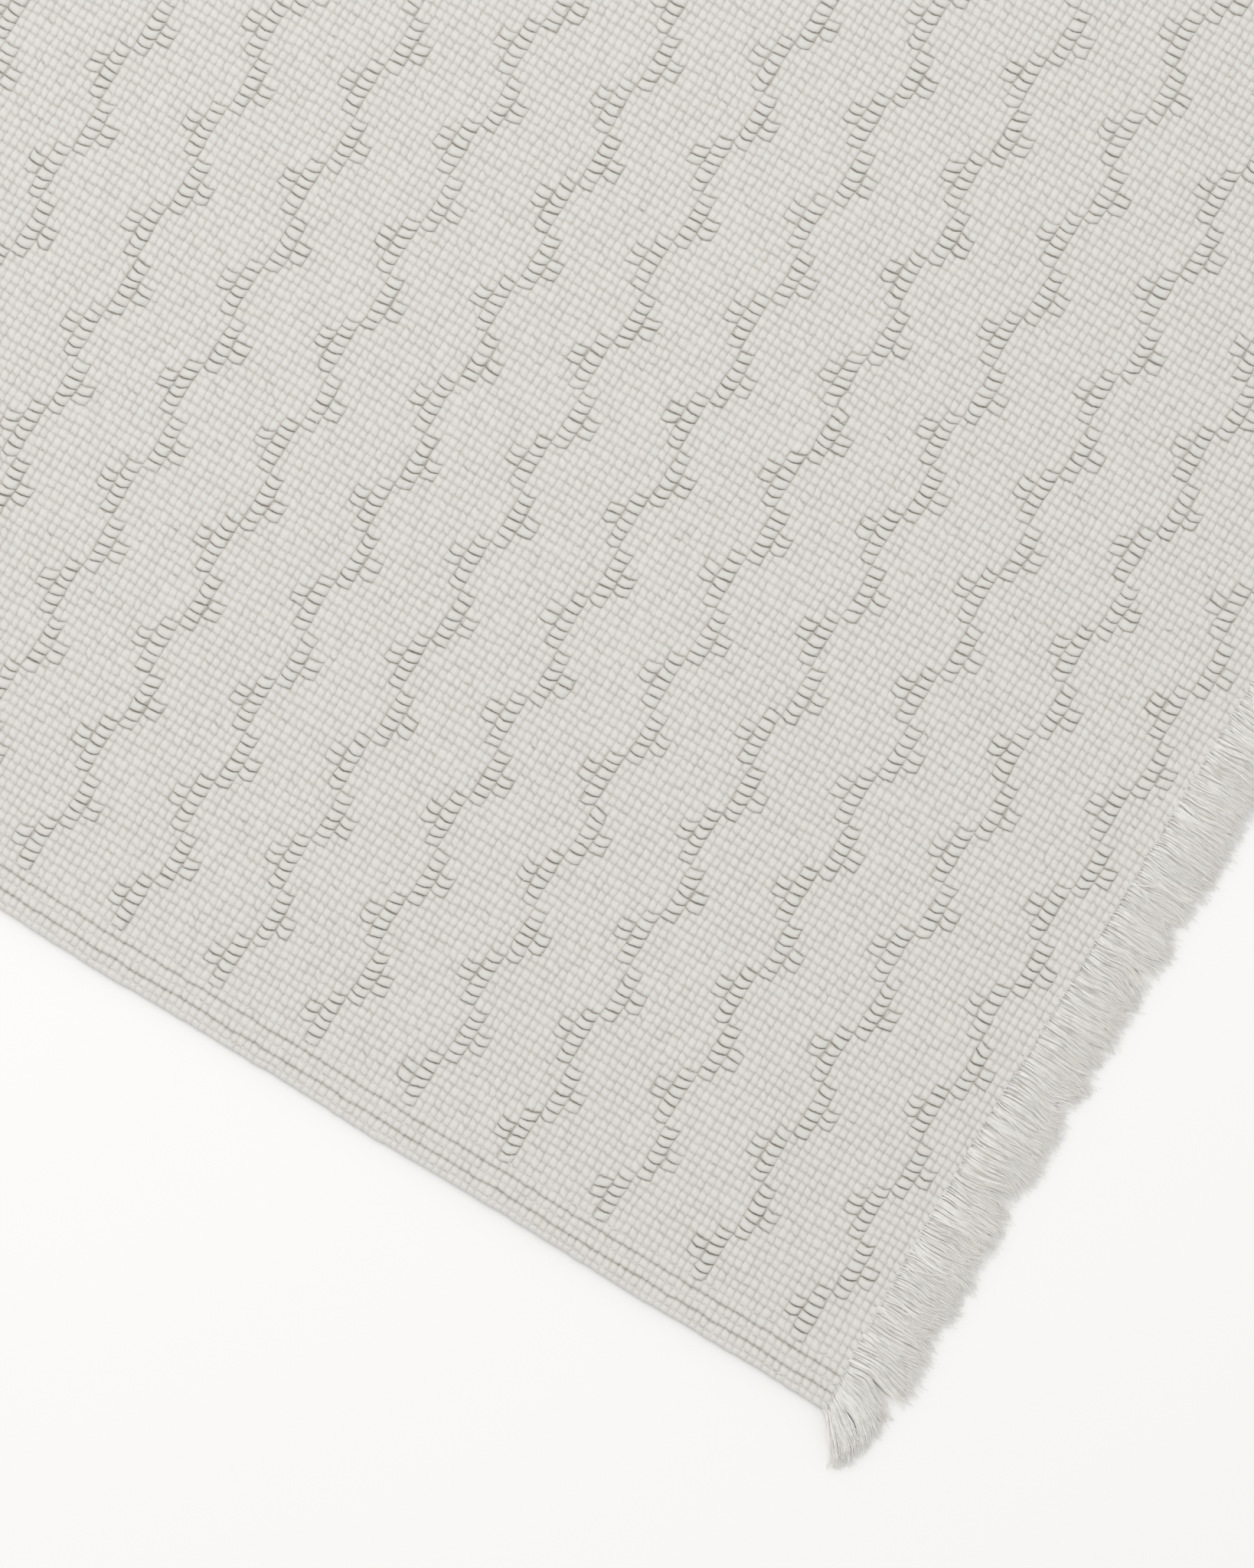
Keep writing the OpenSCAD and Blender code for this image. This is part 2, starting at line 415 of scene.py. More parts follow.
def thread_cotton(name, light, dark, even=0.35, contrast=1.2, fade=0.0):
    """Fine plied thread, with soft irregular patches along it, and lighter towards its end by fade.

    It is light where the patches are under even, and turns dark the faster the greater the contrast. On the
    fringe's fibres and bundles the dark patches, strongest at the root, are painted shade between the
    strands;
    on the binder and selvedge threads they are the yarn's own uneven tone.
    """
    material, tree, shader = node_material(name)
    set_inputs(shader, SOFT_COTTON)
    yarn = attribute(tree, "yarn")["Vector"]
    plies = noise(tree, yarn, PLY_NOISE)["Fac"]
    add_bump(tree, shader, plies, 0.4, 0.00008)
    share = maths(tree, "MULTIPLY", maths(tree, "SUBTRACT", plies, even), contrast)
    along = parts(tree, "ShaderNodeSeparateXYZ", yarn)[1]
    share = maths(tree, "SUBTRACT", share, maths(tree, "MULTIPLY", along, fade))
    tree.links.new(colour_mix(tree, share, light, dark), shader.inputs["Base Color"])
    return material


def floor_material():
    material, tree, shader = node_material("pale_floor")
    set_inputs(shader, {"Base Color": FLOOR, "Roughness": 0.9, "Specular IOR Level": 0.0})
    return material


WEFT_COTTON = weft_cotton()
BINDER_COTTON = thread_cotton("binder_cotton", BINDER, BINDER_DARK)
SELVEDGE_COTTON = thread_cotton("selvedge_cotton", SELVEDGE, SELVEDGE_DARK)
# The fringe's dark patches, strongest at the root and fading towards the tips, are painted shade between the
# strands
FRINGE_COTTON = thread_cotton("fringe_cotton", FRINGE, FRINGE_SHADE, even=0.47, contrast=4.6, fade=0.22)
BUNDLE_COTTON = thread_cotton("bundle_cotton", BUNDLE, FRINGE_SHADE)
CORE_SHADE_COTTON = thread_cotton("core_shade_cotton", CORE_SHADE, CORE_SHADE_DARK)

# ---------------------------------------------------------------- lattice of the weave
# Columns count from the -X end and rows from the -Y edge. lattice_x and lattice_y are how far each crossing
# of a column edge and a groove strays from its place, in shares of a pitch: a slow drift and a local shift,
# each given by its reach in columns and rows and its size.
LATTICE = (WEFTS + 1, ROWS + 1)
X_STRAYS = (((3, 6), 0.05), ((0.4, 0.5), 0.065))
Y_STRAYS = (((6, 3), 0.05), ((0.5, 0.4), 0.055))
lattice_x = sum(smooth_noise(LATTICE, reach, size) for reach, size in X_STRAYS)
lattice_y = sum(smooth_noise(LATTICE, reach, size) for reach, size in Y_STRAYS)

# The slight waves of the cloth over the floor: height, and length along and across over 2 pi
LIE_Z = 0.3
SLOW_WAVE = (0.18, 47, 61)
QUICK_WAVE = (0.12, 23, 31)
DENT = (CLOTH_L / 2 - 133, -CLOTH_W / 2 + 98)
DENT_SIZE = (9, 6)
DENT_DEPTH = 0.35
FLARE = 3.7
FLARE_REACH = (30, 36)


def lattice_stray(field, col, row):
    """The lattice's field at fractional columns and rows."""
    col = np.clip(col, 0, WEFTS - 1e-6)
    row = np.clip(row, 0, ROWS - 1e-6)
    i, j = col.astype(int), row.astype(int)
    a, b = col - i, row - j
    low = field[i, j] * (1 - a) + field[i + 1, j] * a
    high = field[i, j + 1] * (1 - a) + field[i + 1, j + 1] * a
    return low * (1 - b) + high * b


def lie(x, y):
    """Height that the gently uneven cloth adds at a place, with one shallow dent."""
    size, along, across = SLOW_WAVE
    waves = size * np.sin(x / along + 1.3) * np.sin(y / across + 0.4)
    size, along, across = QUICK_WAVE
    waves = waves + size * np.sin(x / along - y / across)
    away = ((x - DENT[0]) / DENT_SIZE[0]) ** 2 + ((y - DENT[1]) / DENT_SIZE[1]) ** 2
    return LIE_Z + waves - DENT_DEPTH * np.exp(-away)


def flare(x, y):
    """How far the cloth near a corner is drawn out past the straight end of the mat."""
    from_end = np.maximum(CLOTH_L / 2 - np.abs(x), 0) / FLARE_REACH[0]
    from_edge = np.maximum(CLOTH_W / 2 - np.abs(y), 0) / FLARE_REACH[1]
    return np.sign(x) * FLARE * np.exp(-from_end - from_edge)


def place(col, row, z):
    """Points from fractional columns and rows, and heights over the flat floor."""
    x = -CLOTH_L / 2 + (col + lattice_stray(lattice_x, col, row)) * PITCH
    y = -CLOTH_W / 2 + (row + lattice_stray(lattice_y, col, row)) * ROW
    return np.stack([x + flare(x, y), y, np.maximum(z + lie(x, y), 0.0)], -1)


# ---------------------------------------------------------------- wave lines of floats
# Each row has a float in its half wave's straight line, and one more beside it in the half wave's bump.
BUMP_ROWS = (2, 3)
HALF_WAVES = ((4, 6), (2, 0))
PLAIN, LEFT_HALF, RIGHT_HALF = 0, 1, 2


def float_starts(step):
    """How many wefts in from a wave's +X side the floats start, in the row that is step rows into a wave."""
    half, into = divmod(step, WAVE_ROWS // 2)
    line, bump = HALF_WAVES[half]
    return (line, bump) if into in BUMP_ROWS else (line,)


def float_map():
    """For each weft and row, a plain knuckle or the -X or +X half of a float."""
    kind = np.full((WEFTS, ROWS), PLAIN)
    for wave in range(len(GROUPS)):
        first = WEFTS - 1 - WAVE_MARGIN - wave * GROUP_WEFTS
        for row in range(BAND, ROWS - BAND):
            for start in float_starts((row - BAND) % WAVE_ROWS):
                kind[first - start, row] = RIGHT_HALF
                kind[first - start - 1, row] = LEFT_HALF
    return kind


kind = float_map()

# ---------------------------------------------------------------- weft yarns
# Each ring has six top points, from -X to +X, then its lowest point. Each row has four rings: its groove, a
# shoulder, its crest and the other shoulder. The tables have a line for each ring.
TOP_U = np.array([-0.5, -0.38, -0.15, 0.15, 0.38, 0.5])
TOPS = len(TOP_U)
RING_V = np.array([0.0, 0.2, 0.5, 0.8])
FLOAT_V = np.array([0.0, -0.08, 0.0, 0.08])
LEVELS = len(RING_V)
RINGS = ROWS * LEVELS + 1
GROUND_Z = np.array(
    [
        [2.92, 2.92, 2.96, 2.98, 2.94, 2.92],
        [3.12, 3.22, 3.46, 3.58, 3.42, 3.14],
        [3.20, 3.46, 3.86, 3.86, 3.46, 3.20],
        [3.14, 3.42, 3.58, 3.46, 3.22, 3.12],
    ]
)
FLOAT_Z = np.array(
    [
        [2.80, 2.66, 2.52, 2.42, 2.36, 2.36],
        [3.00, 3.26, 3.75, 3.88, 3.90, 3.90],
        [3.08, 3.56, 4.10, 4.24, 4.30, 4.30],
        [3.00, 3.26, 3.75, 3.88, 3.90, 3.90],
    ]
)
# Painted shade at each top point, from 0 to 1: darkest in the grooves and in the narrow deep grooves of the
# floats
GROUND_GROOVE_SHADE = np.array(
    [
        [0.04, 0.09, 0.17, 0.19, 0.13, 0.05],
        [0.02, 0.04, 0.02, 0.00, 0.02, 0.02],
        [0.02, 0.00, 0.00, 0.00, 0.00, 0.02],
        [0.02, 0.00, 0.00, 0.02, 0.06, 0.04],
    ]
)
FLOAT_GROOVE_SHADE = np.array(
    [
        [0.25, 0.45, 0.75, 0.95, 0.95, 0.95],
        [0.12, 0.04, 0.00, 0.00, 0.00, 0.00],
        [0.12, 0.04, 0.00, 0.00, 0.00, 0.00],
        [0.12, 0.04, 0.00, 0.00, 0.00, 0.00],
    ]
)
# Slant of a knuckle and slant and sag of a float, in rows, and how much each differs from one to the next
PLAIN_SLANT = (-0.14, 0.05)
FLOAT_SLANT = (0.06, 0.07)
FLOAT_SAG = (0.14, 0.05)
SHOULDER_KEEPS = 0.4
# Random differences in a knuckle's height, in the lean of its crest and in its tilt
PUFF = 0.12
LEAN = 0.25
BEND = 0.35
# Random differences in how much painted shade a knuckle and a point get, and in a groove point's place
GLOOM = 0.35
SHADE_BLOTCH = 0.3
WOBBLE = 0.035
RING_GAP = 0.03
# The selvedge band: how much of the slant it keeps, and its deep grooves with their painted shade
BAND_KEEPS = 0.4
BAND_RINGS = BAND * LEVELS + 1
DEEP_GROOVES = (2, 4, ROWS - 4, ROWS - 2)
DEEP_Z = 2.6
DEEP_SHADE = 0.45
# The outermost rings, from the edge inwards: height, how far in they are, and the fall to their sides
EDGE_Z = (0.4, 2.3, 3.6)
EDGE_IN = (0.14, 0.05, 0.0)
EDGE_FALL = 0.12
# Heights of the lowest point, under a groove, a shoulder and the edge
LOW_GROOVE_Z = 0.9
LOW_SHOULDER_Z = 0.3
LOW_EDGE_Z = 0.2
# Painted shade on each ring's lowest point, under the yarn
LOW_SHADE = 0.5
# Fine threads side by side in a yarn, and how many of them they cross from one groove to the next
THREADS = 5.0
THREAD_TILT = 0.3


def ring_values(ground, floated):
    """A table's value at every column, ring and top point. A groove takes the mean of the rows beside it."""
    table = np.stack([ground, floated, floated[:, ::-1]])
    here = table[kind].reshape(WEFTS, ROWS * LEVELS, TOPS)
    here = np.concatenate([here, here[:, :1]], 1)
    grooves = table[kind][:, :, 0]
    here[:, LEVELS:-LEVELS:LEVELS] = (grooves[:, 1:] + grooves[:, :-1])[:, : ROWS - 1] / 2
    here[:, -1] = grooves[:, -1]
    return here


def on_rings(values):
    """One value for each column and row, spread to its rings.

    A groove takes its upper row's value, or its lower row's where only that one is a float.
    """
    out = np.repeat(values, LEVELS, 1)
    below = (kind[:, :-1] > PLAIN) & (kind[:, 1:] == PLAIN)
    out[:, LEVELS::LEVELS] = np.where(below, values[:, :-1], values[:, 1:])
    return np.concatenate([out, out[:, -1:]], 1)[..., None]


def every_row(pattern):
    """A value for each ring of a row, repeated for all rows, and 0 at the last groove."""
    return np.append(np.tile(pattern, ROWS), 0)[None, :, None]


def chance(middle=0.0, size=1.0):
    """A random value for each column and row."""
    return middle + size * rng.standard_normal((WEFTS, ROWS))


def pair_up(values):
    """Gives a float's two halves the same value."""
    values = values.copy()
    right = kind == RIGHT_HALF
    values[right] = np.roll(values, 1, axis=0)[right]
    return values


is_float = on_rings((kind > PLAIN).astype(float))
member = on_rings(kind)
pair_u = np.where(member == LEFT_HALF, (TOP_U - 0.5) / 2, (TOP_U + 0.5) / 2)
ring_v = np.append((np.arange(ROWS)[:, None] + RING_V).ravel(), ROWS)
inner_top = 1 - (2 * TOP_U) ** 2
at_groove = (np.arange(RINGS) % LEVELS == 0)[None, :, None]


def knuckle_shift():
    """How far the slant of knuckles and floats, and the sag of floats, shifts each top point, in rows."""
    slope = on_rings(pair_up(chance(*FLOAT_SLANT)))
    sag = on_rings(pair_up(chance(*FLOAT_SAG)))
    plain_slope = on_rings(chance(*PLAIN_SLANT))
    shift = np.where(is_float > 0, slope * pair_u * 2 - sag * (1 - 4 * pair_u**2), plain_slope * TOP_U)
    first, last = shift[:, 1::LEVELS], shift[:, 3::LEVELS]
    shift[:, 1::LEVELS] = SHOULDER_KEEPS * first + (1 - SHOULDER_KEEPS) * shift[:, 0:-1:LEVELS]
    shift[:, 3::LEVELS] = SHOULDER_KEEPS * last + (1 - SHOULDER_KEEPS) * shift[:, 4::LEVELS]
    return shift


def knuckle_heights():
    """Height of each top point, each knuckle being puffed, leaned and bent its own way."""
    puff = on_rings(pair_up(chance()))
    lean = on_rings(pair_up(chance()))
    bend = on_rings(chance())
    crest = every_row(RING_V * (1 - RING_V) * LEVELS)
    rise = every_row((RING_V - 0.5) * (RING_V > 0))
    z = ring_values(GROUND_Z, FLOAT_Z)
    return z + (PUFF * puff * crest + LEAN * lean * rise + BEND * bend * TOP_U * crest) * inner_top


def knuckle_shade():
    """How much painted shade each top point gets, from 0 to 1."""
    painted_shade = ring_values(GROUND_GROOVE_SHADE, FLOAT_GROOVE_SHADE)
    gloom = pair_up(np.exp(GLOOM * chance()))
    shade_blotch = np.exp(SHADE_BLOTCH * rng.standard_normal(painted_shade.shape) * at_groove * inner_top)
    return painted_shade * on_rings(gloom) * shade_blotch


def knuckle_rows(shift):
    """The place in rows of each top point, always at least a little after the ring before."""
    narrower = every_row(FLOAT_V) * is_float
    wobble = WOBBLE * rng.standard_normal(shift.shape) * at_groove * inner_top
    row_v = ring_v[None, :, None] + shift + narrower + wobble
    apart = RING_GAP * np.arange(RINGS)[None, :, None]
    return np.maximum.accumulate(row_v - apart, axis=1) + apart


def straighten_bands(top_z, row_v, painted_shade):
    """In the selvedge bands the grooves are nearly straight, and every second one is deep, with painted
    shade.
    """
    for band in (slice(0, BAND_RINGS), slice(RINGS - BAND_RINGS, RINGS)):
        row_v[:, band] = ring_v[band, None] + BAND_KEEPS * (row_v[:, band] - ring_v[band, None])
    for groove in DEEP_GROOVES:
        top_z[:, groove * LEVELS] = DEEP_Z
        shade_blotch = np.exp(SHADE_BLOTCH * rng.standard_normal((WEFTS, TOPS)))
        painted_shade[:, groove * LEVELS] = DEEP_SHADE * shade_blotch


def roll_edges(top_z, row_v, painted_shade):
    """The yarn rolls over each selvedge: the outermost half row is short and comes down to the floor."""
    for end, inward in ((0, 1), (RINGS - 1, -1)):
        for step, z in enumerate(EDGE_Z):
            ring = end + inward * step
            top_z[:, ring] = z - EDGE_FALL * step * (2 * TOP_U) ** 2
            row_v[:, ring] = ring_v[ring] + inward * EDGE_IN[step]
            painted_shade[:, ring] = 0.0


def lowest_points():
    """Height of each ring's lowest point, and its place in rows."""
    z = np.full((WEFTS, RINGS, 1), 0.0)
    z[:, 0::LEVELS] = LOW_GROOVE_Z
    z[:, 1::LEVELS] = LOW_SHOULDER_Z
    z[:, 3::LEVELS] = LOW_SHOULDER_Z
    z[:, [0, -1]] = LOW_EDGE_Z
    row = ring_v.copy()
    row[0] += 2 * EDGE_IN[0]
    row[-1] -= 2 * EDGE_IN[0]
    return z, np.broadcast_to(row[None, :, None], z.shape)


def with_low(tops, lows):
    """Values of the top points and the lowest points together."""
    return np.concatenate([np.broadcast_to(tops, (WEFTS, RINGS, TOPS)), lows], 2)


def weft_rings():
    """Every ring point's place, and the values that its material needs."""
    shift = knuckle_shift()
    top_z = knuckle_heights()
    painted_shade = knuckle_shade()
    row_v = knuckle_rows(shift)
    straighten_bands(top_z, row_v, painted_shade)
    roll_edges(top_z, row_v, painted_shade)
    low_z, low_row = lowest_points()
    whole = (WEFTS, RINGS, RING_POINTS)
    column = np.arange(WEFTS)[:, None, None]
    col_u = column + 0.5 + TOP_U
    tilt = THREAD_TILT * (every_row(RING_V) - 0.5)
    thread = (col_u - tilt) * THREADS
    thread = with_low(thread, thread.mean(2, keepdims=True) + THREADS)
    along = np.broadcast_to(ring_v[None, :, None], whole)
    across = with_low(np.where(is_float > 0, pair_u, TOP_U), np.zeros_like(low_z))
    cell_col = np.broadcast_to(column - (member == RIGHT_HALF), whole)
    seam = np.zeros(whole, bool)
    seam[..., [0, TOPS - 1]] = True
    low_col = np.broadcast_to(column + 0.5, low_z.shape)
    points = place(with_low(col_u, low_col), with_low(row_v, low_row), with_low(top_z, low_z))
    return points, {
        "seam": seam,
        # Painted shade in the grooves and on the lowest points
        "groove_shade": with_low(painted_shade, np.full_like(low_z, LOW_SHADE)),
        "yarn": np.stack([thread, along * ROW, np.zeros(whole)], -1),
        "cell": np.stack([across, along, cell_col], -1),
        "floated": np.broadcast_to(is_float, whole),
    }


def flat_points(values):
    """Values of column, ring, point (and part) as one long list of points."""
    return values.reshape(-1, *values.shape[3:])


pieces = []
points, looks = weft_rings()
for number, group in enumerate(GROUPS):
    stop = WEFTS - number * GROUP_WEFTS
    some = slice(max(stop - GROUP_WEFTS, 0), stop)
    quads, tris = strand_faces(stop - some.start, RINGS, RING_POINTS)
    values = {key: flat_points(value[some]) for key, value in looks.items()}
    name = f"weft_yarns_{number + 1:02d}"
    piece = new_mesh(name, flat_points(points[some]), quads, tris, WEFT_COTTON, **values)
    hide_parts(group, "wave_floats")
    pieces.append(piece)


# ---------------------------------------------------------------- warp threads in the grooves
# Height beside plain knuckles and beside floats
FACE_Z = (2.60, 1.35)
UNDERSIDE_Z = (0.75, 0.75)
UNDERSIDE_STEP = 6
BINDER_R = 0.24
BINDER_STRAY = (0.04, 0.05)
SELVEDGE_R = 0.14
# Strong grooves have four threads, at these places in rows, and the others one
LANES = (-0.16, -0.06, 0.05, 0.15)
STRONG_Z = 3.02
STRONG_WAVE = (0.05, 0.20)
STRONG_STRAY = (0.04, 0.08)
WEAK_Z = 2.3
WEAK_STRAY = (0.02, 0.04)


def binder_paths(z_plain, z_float, step):
    """Centre lines of the field's binder warps, with a point at every so many wefts."""
    cols = np.arange(0, WEFTS + 1, step).astype(float)
    sway, rise = BINDER_STRAY
    paths = []
    for groove in range(BAND + 1, ROWS - BAND):
        floats = np.maximum(kind[:, groove - 1], kind[:, groove]) > PLAIN
        near = np.concatenate([floats[:1], floats[1:] | floats[:-1], floats[-1:]])[cols.astype(int)]
        z = np.where(near, z_float, z_plain) + rise * rng.standard_normal(len(cols))
        paths.append(place(cols, groove + sway * rng.standard_normal(len(cols)), z))
    return np.array(paths)


face_paths = binder_paths(*FACE_Z, 1)
middle = len(face_paths) // 2
for side, paths in (("near", face_paths[:middle]), ("far", face_paths[middle:])):
    piece = tubes(f"binder_warps_face_{side}", paths, BINDER_R, BINDER_COTTON)
    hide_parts("binder_warps_face")
    pieces.append(piece)
underside_paths = binder_paths(*UNDERSIDE_Z, UNDERSIDE_STEP)
piece = tubes("binder_warps_underside", underside_paths, BINDER_R, BINDER_COTTON)
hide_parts("binder_warps_back")
pieces.append(piece)


def strong_thread(groove, lane, cols):
    """One of a strong groove's threads, over one weft and under the next."""
    wave_v, wave_z = STRONG_WAVE
    stray_v, stray_z = STRONG_STRAY
    z = STRONG_Z + wave_z * np.cos(np.pi * (cols + 0.5 + lane)) + stray_z * rng.standard_normal(len(cols))
    sway = wave_v * np.sin(np.pi * (cols + lane * 0.7)) + stray_v * rng.standard_normal(len(cols))
    return place(cols, groove + (LANES[lane] + sway), z)


def weak_thread(groove, cols):
    """The one thread deep in each of the other grooves."""
    stray_v, stray_z = WEAK_STRAY
    z = WEAK_Z + stray_z * rng.standard_normal(len(cols))
    return place(cols, groove + stray_v * rng.standard_normal(len(cols)), z)


def selvedge_paths(far):
    """Centre lines of one selvedge's threads, from its edge inwards."""
    cols = np.arange(0, WEFTS + 0.1, 0.5)
    paths = []
    for inward in range(1, BAND + 1):
        groove = ROWS - inward if far else inward
        if inward % 2:
            paths.extend(strong_thread(groove, lane, cols) for lane in range(len(LANES)))
        else:
            paths.append(weak_thread(groove, cols))
    return np.array(paths)


for name, far in (("near", False), ("far", True)):
    piece = tubes(f"selvedge_threads_{name}", selvedge_paths(far), SELVEDGE_R, SELVEDGE_COTTON)
    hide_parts(f"selvedge_warps_{name}")
    pieces.append(piece)


# ---------------------------------------------------------------- cloth core
CORE_TOP = 1.5
CORE_UNDER = 1.0
CORE_IN = (0.1, 0.6)


def core_sheet():
    """The cloth's closed middle, shown only as the dark floor of the deepest grooves: its colour is painted
    shade.
    """
    cols = np.linspace(CORE_IN[0], WEFTS - CORE_IN[0], WEFTS // 2 + 1)
    rows = np.linspace(CORE_IN[1], ROWS - CORE_IN[1], ROWS // 2 + 1)
    col, row = np.meshgrid(cols, rows, indexing="ij")
    top = place(col, row, np.full_like(col, CORE_TOP))
    under = place(col, row, np.full_like(col, CORE_UNDER))
    wide, deep = col.shape
    number = np.arange(wide * deep).reshape(wide, deep)
    corners = [number[:-1, :-1], number[1:, :-1], number[1:, 1:], number[:-1, 1:]]
    face = np.stack(corners, -1).reshape(-1, 4)
    rim = np.concatenate([number[:, 0], number[-1, 1:], number[-2::-1, -1], number[0, -2:0:-1]])
    after = np.roll(rim, -1)
    low = wide * deep
    wall = np.stack([rim, rim + low, after + low, after], -1)
    quads = np.concatenate([face, face[:, ::-1] + low, wall])
    points = np.concatenate([top.reshape(-1, 3), under.reshape(-1, 3)])
    yarn = np.concatenate([points[:, :2], np.zeros((len(points), 1))], 1)
    return new_mesh("cloth_core", points, quads, [], CORE_SHADE_COTTON, yarn=yarn)


# ---------------------------------------------------------------- fringes and tassels
# T is the place along a strand, from its root to its tip, and PAD_Z and PAD_T are the bundles' height and
# thickness there.
T = np.linspace(0, 1, 10)
PAD_Z = 2.5 - 1.75 * T**0.8
PAD_T = 1.0 - 0.5 * T
PAD_SIDES = 8
PAD_YARN = (2.2, 0.25, 3.7)
FIBRES = 3
FIBRE_R = 0.125
FIBRE_TAPER = 1 - 0.5 * T
LOWEST_FIBRE = 0.2
LOWEST_PAD = 0.15
# Random waves along a strand, and drifts that neighbouring strands share: reach and size
STRAND_SWING = 0.22
STRAND_WAVES = (0.8, 2.4)
FINE_FLOW = (0.9, 0.45)
WIDE_FLOW = (3.5, 0.6)
LAYER_RISE = 0.9

STRANDS = 13
FRINGE_IN = 0.9
FRINGE_ROOT = (2.9, 0.8)
BUNDLE_LENGTH = 0.93
BUNDLE_WIDTH = 0.85
# Uneven tips: width of a lobe, how much shorter its edges are, and how far its strands draw together
LOBE = 24
LOBE_CUT = 0.20
LOBE_PULL = 0.09
RAGGED_FLOW = (2.0, 0.35)
FRINGE_REACH = 1.12
FRINGE_UNEVEN = 0.04
CORNER_REACH = 26
LOOSE_SHARE = 0.03

TASSEL_STRANDS = 210
TASSEL_IN = 0.6
TASSEL_ROOT = (2.2, 1.2)
TASSEL_BUNCHES = 6
TASSEL_BUNDLE = 1.1
TASSEL_TURN = (9, 31)
TASSEL_CURL = (-0.22, 0.07)
TASSEL_REACH = 1.07


def side_name(side):
    return "right" if side > 0 else "left"


def flow(y, reach, size):
    """Sideways drift shared by neighbouring strands: zero at the root and about size at the tips."""
    places = np.arange(-CLOTH_W / 2 - 10, CLOTH_W / 2 + 10, reach)
    drift = smooth_noise((len(places), len(T)), (0.8, 1.2), size) * np.sqrt(T)
    return np.stack([np.interp(y, places, drift[:, k]) for k in range(len(T))], 1)


def lobes(y, spacing):
    """Each y's place in its lobe, from -1 to 1, the lobe's half width, and how deep that side is cut."""
    edges = [-CLOTH_W / 2 + (BAND + 0.8) * ROW]
    while edges[-1] < CLOTH_W / 2 - (BAND + 0.8) * ROW:
        edges.append(edges[-1] + spacing * rng.uniform(0.5, 1.5))
    edges = np.array(edges)
    cut = rng.uniform(0.2, 1.0, len(edges)) ** 2
    number = np.clip(np.searchsorted(edges, y, side="right"), 1, len(edges) - 1)
    half = (edges[number] - edges[number - 1]) / 2
    rel = (y - edges[number - 1]) / half - 1
    return rel, half, np.where(rel < 0, cut[number - 1], cut[number])


def strand_roots(y, inside, layer, heights):
    """Roots of strands at these places across the mat, a little inside its end."""
    out = CLOTH_L / 2 - inside
    return np.stack([out + flare(np.full(len(y), out), y), y, heights[0] + heights[1] * layer], -1)


def strand_paths(root, heading, curl, length, layer, pull):
    """Centre lines of loose strands: strand, ring, xyz. curl is each one's turn by its tip, in radians."""
    count = len(root)
    turn = heading[:, None] + curl[:, None] * T**1.5
    step = length[:, None] / (len(T) - 1)
    x = root[:, :1] + (np.cumsum(np.cos(turn), 1) - np.cos(turn[:, :1])) * step
    y = root[:, 1:2] + (np.cumsum(np.sin(turn), 1) - np.sin(turn[:, :1])) * step
    waves = rng.uniform(*STRAND_WAVES, (count, 1))
    swing = STRAND_SWING * np.abs(rng.standard_normal((count, 1))) * np.sqrt(T)
    swing = swing * np.sin(2 * np.pi * waves * T + rng.uniform(0, 2 * np.pi, (count, 1)))
    side = swing + pull[:, None] * T**1.4 + flow(root[:, 1], *FINE_FLOW) + flow(root[:, 1], *WIDE_FLOW)
    x, y = x - np.sin(turn) * side, y + np.cos(turn) * side
    rest_z = PAD_Z + PAD_T * 0.4 + LAYER_RISE * layer[:, None]
    z = root[:, 2:] * (1 - T) ** 2 + rest_z * (1 - (1 - T) ** 2)
    return np.stack([x, y, z], -1)


def split_fibres(centres):
    """The fibres of each strand, wound loosely round its centre line and apart towards the tip."""
    count = len(centres)
    start = rng.uniform(0, 2 * np.pi, (count, 1, 1))
    wind = rng.uniform(2.0, 7.0, (count, 1, 1))
    slot = 2 * np.pi * np.arange(FIBRES)[None, :, None] / FIBRES
    angle = start + slot + wind * T
    away = (0.15 + 0.30 * T**1.5) * (1 + 0.25 * rng.standard_normal((count, FIBRES, 1)))
    paths = np.repeat(centres[:, None], FIBRES, 1)
    paths[..., 1] += away * np.cos(angle)
    paths[..., 2] += 0.6 * away * np.sin(angle)
    reach = 1 + 0.05 * rng.standard_normal((count, FIBRES, 1)) * T
    paths[..., 0] = centres[:, None, :1, 0] + (paths[..., 0] - centres[:, None, :1, 0]) * reach
    paths[..., 2] = np.maximum(paths[..., 2], LOWEST_FIBRE)
    return paths.reshape(-1, len(T), 3)


def padding(name, paths, half_width):
    """The dense, flattened middle of each bundle of warp ends, which lies under the loose fibres."""
    count = len(paths)
    turn = 2 * np.pi * np.arange(PAD_SIDES) / PAD_SIDES
    along = np.gradient(paths[..., :2], axis=1)
    along /= np.linalg.norm(along, axis=2, keepdims=True)
    width = half_width * np.linspace(1.0, 0.9, len(T)) * np.clip(4 * (1 - T) + 0.35, 0, 1)
    points = np.empty((count, len(T), PAD_SIDES, 3))
    points[..., 0] = paths[..., :1] - along[..., 1:] * np.cos(turn) * width[:, None]
    points[..., 1] = paths[..., 1:2] + along[..., :1] * np.cos(turn) * width[:, None]
    points[..., 2] = PAD_Z[:, None] + np.sin(turn) * PAD_T[:, None] / 2
    points[..., 2] = np.maximum(points[..., 2], LOWEST_PAD)
    quads, tris = strand_faces(count, len(T), PAD_SIDES)
    across, length, apart = PAD_YARN
    number = np.arange(count)[:, None, None]
    yarn = np.broadcast_arrays(points[..., 1] * across, points[..., 0] * length, number * apart)
    yarn = np.stack(yarn, -1).reshape(-1, 3)
    return new_mesh(name, points.reshape(-1, 3), quads, tris, BUNDLE_COTTON, yarn=yarn)


